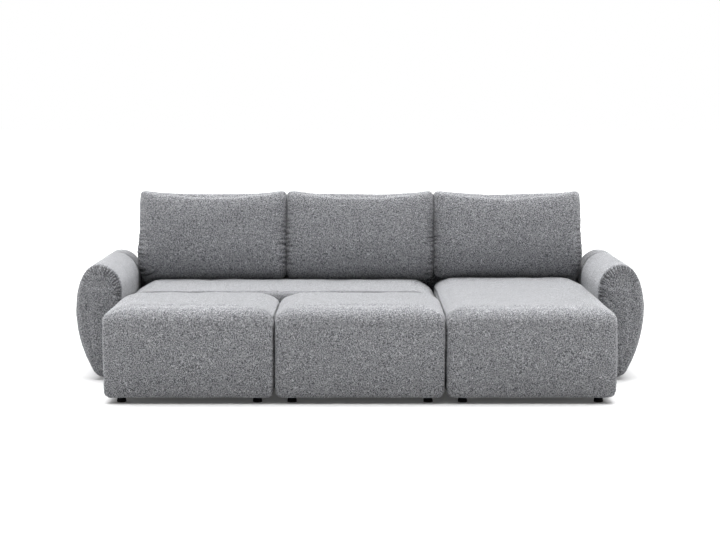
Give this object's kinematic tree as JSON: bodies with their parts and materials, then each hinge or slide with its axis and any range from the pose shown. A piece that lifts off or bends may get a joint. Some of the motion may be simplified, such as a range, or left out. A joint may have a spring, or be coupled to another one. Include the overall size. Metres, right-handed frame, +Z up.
{
  "type": "sofa bed with chaise",
  "caption": "Upholstered sofa with a full-depth chaise, rounded arms, loose back cushions and feet-mounted poufs that push against the bench to make a bed.",
  "frame": {"origin": "on the floor, under the middle of the bounding box", "axes": "+X along the sofa towards the chaise end, +Y from the front to the backrest, +Z up"},
  "size_m": [2.86, 1.666, 0.9083],
  "materials": {
    "cover_fabric": "matte",
    "foam": "matte",
    "webbing": "matte",
    "dust_cloth": "matte",
    "frame_wood": "matte",
    "hardboard": "matte",
    "feet_plastic": "satin",
    "zip": "satin",
    "bolt_steel": "satin"
  },
  "bodies": {
    "sofa": {"bench_frame": "frame_wood", "bench_webbing": "webbing", "bench_foam": "foam", "bench_cover": "cover_fabric", "bench_dust_cloth": "dust_cloth", "bench_feet": "feet_plastic", "chaise_frame": "frame_wood", "chaise_webbing": "webbing", "chaise_foam": "foam", "chaise_cover": "cover_fabric", "chaise_dust_cloth": "dust_cloth", "chaise_feet": "feet_plastic", "backrest_frame": "frame_wood", "backrest_panel": "hardboard", "backrest_cover": "cover_fabric", "left_arm_frame": "frame_wood", "left_arm_panel": "hardboard", "left_arm_foam": "foam", "left_arm_cover": "cover_fabric", "left_arm_glides": "feet_plastic", "right_arm_frame": "frame_wood", "right_arm_panel": "hardboard", "right_arm_foam": "foam", "right_arm_cover": "cover_fabric", "right_arm_glides": "feet_plastic", "arm_bolts": "bolt_steel", "module_bolts": "bolt_steel", "backrest_bolts": "bolt_steel"},
    "left_pouf": {"left_pouf_frame": "frame_wood", "left_pouf_webbing": "webbing", "left_pouf_foam": "foam", "left_pouf_cover": "cover_fabric", "left_pouf_dust_cloth": "dust_cloth", "left_pouf_feet": "feet_plastic"},
    "middle_pouf": {"middle_pouf_frame": "frame_wood", "middle_pouf_webbing": "webbing", "middle_pouf_foam": "foam", "middle_pouf_cover": "cover_fabric", "middle_pouf_dust_cloth": "dust_cloth", "middle_pouf_feet": "feet_plastic"},
    "left_cushion": {"left_cushion_cover": "cover_fabric", "left_cushion_core": "foam", "left_cushion_zip": "zip"},
    "middle_cushion": {"middle_cushion_cover": "cover_fabric", "middle_cushion_core": "foam", "middle_cushion_zip": "zip"},
    "right_cushion": {"right_cushion_cover": "cover_fabric", "right_cushion_core": "foam", "right_cushion_zip": "zip"}
  },
  "joints": [
    {"name": "left_pouf_slide", "type": "slide", "parent": "sofa", "child": "left_pouf", "axis": [0, -1, 0], "range_m": [0, 0.6]},
    {"name": "middle_pouf_slide", "type": "slide", "parent": "sofa", "child": "middle_pouf", "axis": [0, -1, 0], "range_m": [0, 0.6]},
    {"name": "left_cushion_lift", "type": "slide", "parent": "sofa", "child": "left_cushion", "axis": [0, 0.1908, 0.9816], "range_m": [0, 0.45]},
    {"name": "middle_cushion_lift", "type": "slide", "parent": "sofa", "child": "middle_cushion", "axis": [0, 0.1908, 0.9816], "range_m": [0, 0.45]},
    {"name": "right_cushion_lift", "type": "slide", "parent": "sofa", "child": "right_cushion", "axis": [0, 0.1908, 0.9816], "range_m": [0, 0.45]}
  ]
}
